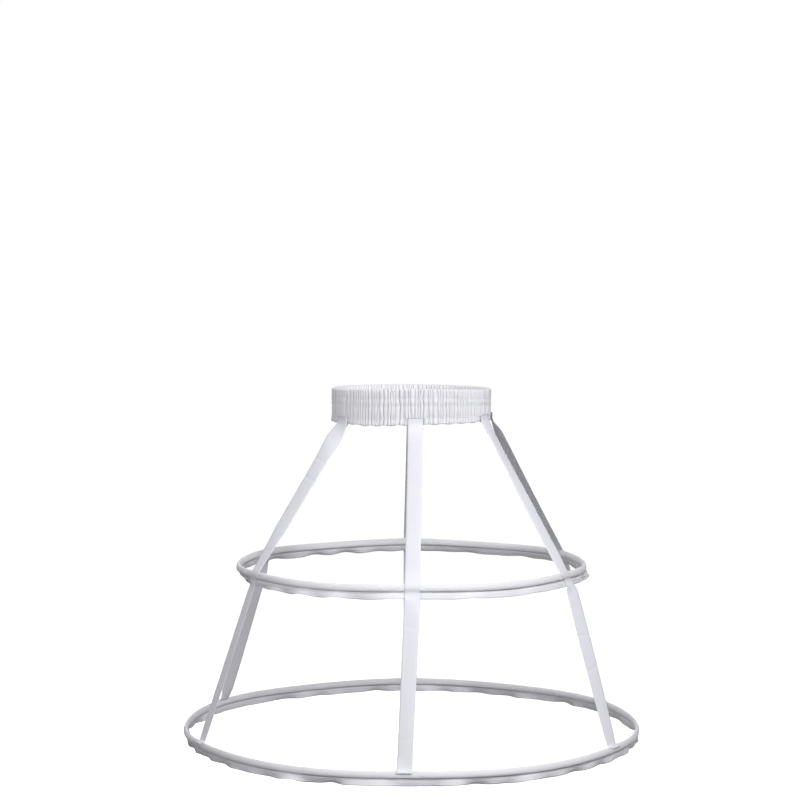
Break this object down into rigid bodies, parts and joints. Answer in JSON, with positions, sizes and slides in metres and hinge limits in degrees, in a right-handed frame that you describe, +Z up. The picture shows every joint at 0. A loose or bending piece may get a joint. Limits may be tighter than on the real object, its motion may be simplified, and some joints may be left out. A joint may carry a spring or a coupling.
{
  "type": "crinoline cage",
  "caption": "Crinoline cage: a gathered elastic waistband carries flat tapes over a hip hoop to a wider hem hoop, to hold a skirt out.",
  "frame": {"origin": "centre of the waist opening, half way up the waistband", "axes": "+Z up through the waist opening, -Y the front, +X to the right as seen from the front"},
  "size_m": [0.655, 0.6549, 0.5025],
  "materials": {
    "gathered_cloth": "gathered plain-weave white cotton blend",
    "elastic_webbing": "ribbed white elastic webbing",
    "tape_cloth": "flat white twill tape",
    "casing_cloth": "white bias cloth, stitched and overlocked",
    "coated_steel_strip": "white-coated spring steel strip",
    "crimped_steel": "thin crimped sleeve"
  },
  "bodies": {
    "root": {"waistband_casing": "gathered_cloth", "waist_elastic": "elastic_webbing", "tape_front": "tape_cloth", "tape_front_right": "tape_cloth", "tape_back_right": "tape_cloth", "tape_back": "tape_cloth", "tape_back_left": "tape_cloth", "tape_front_left": "tape_cloth", "hip_hoop_casing": "casing_cloth", "hem_hoop_casing": "casing_cloth", "hip_hoop_bone": "coated_steel_strip", "hem_hoop_bone": "coated_steel_strip", "hip_hoop_joiner": "crimped_steel", "hem_hoop_joiner": "crimped_steel"}
  },
  "joints": []
}
